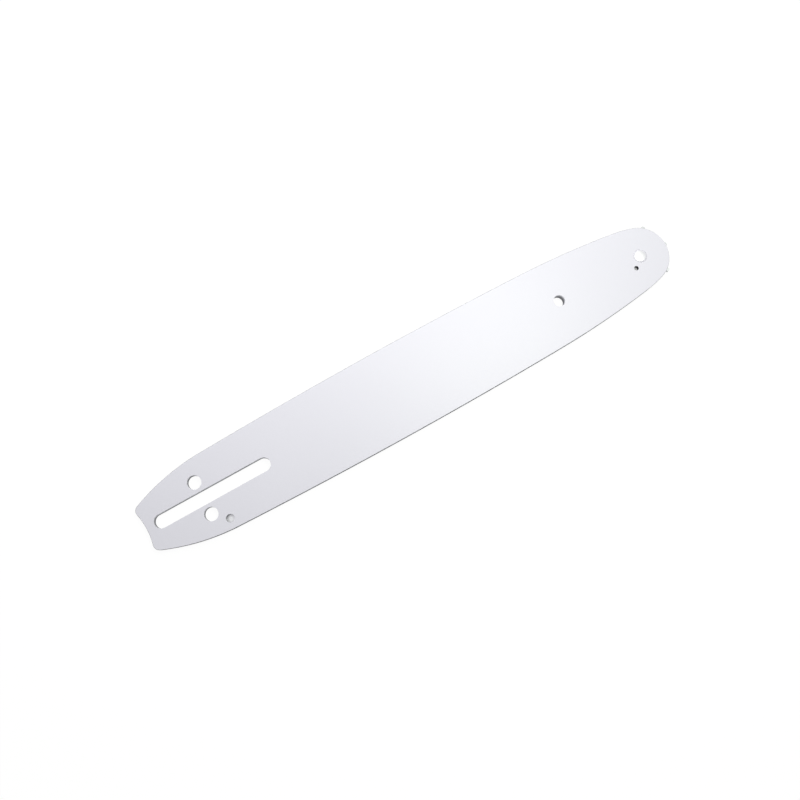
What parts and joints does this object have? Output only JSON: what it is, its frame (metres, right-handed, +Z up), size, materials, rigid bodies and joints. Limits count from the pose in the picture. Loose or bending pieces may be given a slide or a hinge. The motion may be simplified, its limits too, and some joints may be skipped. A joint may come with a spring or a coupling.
{
  "type": "chainsaw guide bar",
  "caption": "Long flat laminated guide bar with a chain groove round its rails, a stud slot and adjuster holes at the tail and a toothed roller-bearing sprocket in the nose.",
  "frame": {"origin": "on the lower face, at the centre of the stud slot's tail-end arc", "axes": "+X along the bar from the tail to the nose, +Y across the bar, +Z up through the thickness"},
  "size_m": [0.3561, 0.053, 0.0049],
  "materials": {
    "plate_paint": "satin off-white paint on steel plate",
    "core_steel": "bare rolled steel",
    "sprocket_steel": "hardened steel, ground",
    "bearing_steel": "polished bearing steel",
    "rivet_steel": "bright steel, ground flush"
  },
  "bodies": {
    "bar": {"front_plate": "plate_paint", "core_plate": "core_steel", "back_plate": "plate_paint", "bearing_race": "bearing_steel", "nose_rivet": "rivet_steel"},
    "sprocket": {"nose_sprocket": "sprocket_steel"},
    "rollers": {"bearing_roller_01": "bearing_steel", "bearing_roller_02": "bearing_steel", "bearing_roller_03": "bearing_steel", "bearing_roller_04": "bearing_steel", "bearing_roller_05": "bearing_steel", "bearing_roller_06": "bearing_steel", "bearing_roller_07": "bearing_steel", "bearing_roller_08": "bearing_steel", "bearing_roller_09": "bearing_steel", "bearing_roller_10": "bearing_steel", "bearing_roller_11": "bearing_steel", "bearing_roller_12": "bearing_steel", "bearing_roller_13": "bearing_steel", "bearing_roller_14": "bearing_steel", "bearing_roller_15": "bearing_steel", "bearing_roller_16": "bearing_steel", "bearing_roller_17": "bearing_steel", "bearing_roller_18": "bearing_steel", "bearing_roller_19": "bearing_steel"}
  },
  "joints": [
    {"name": "sprocket_spin", "type": "hinge", "parent": "bar", "child": "sprocket", "pos_m": [0.3258, 0, 0.00225], "axis": [0, 0, 1], "continuous": true},
    {"name": "rollers_orbit", "type": "hinge", "parent": "bar", "child": "rollers", "pos_m": [0.3258, 0, 0.00225], "axis": [0, 0, 1], "continuous": true}
  ],
  "couplings": [
    {"joint": "rollers_orbit", "follows": "sprocket_spin", "ratio": 0.58008}
  ]
}
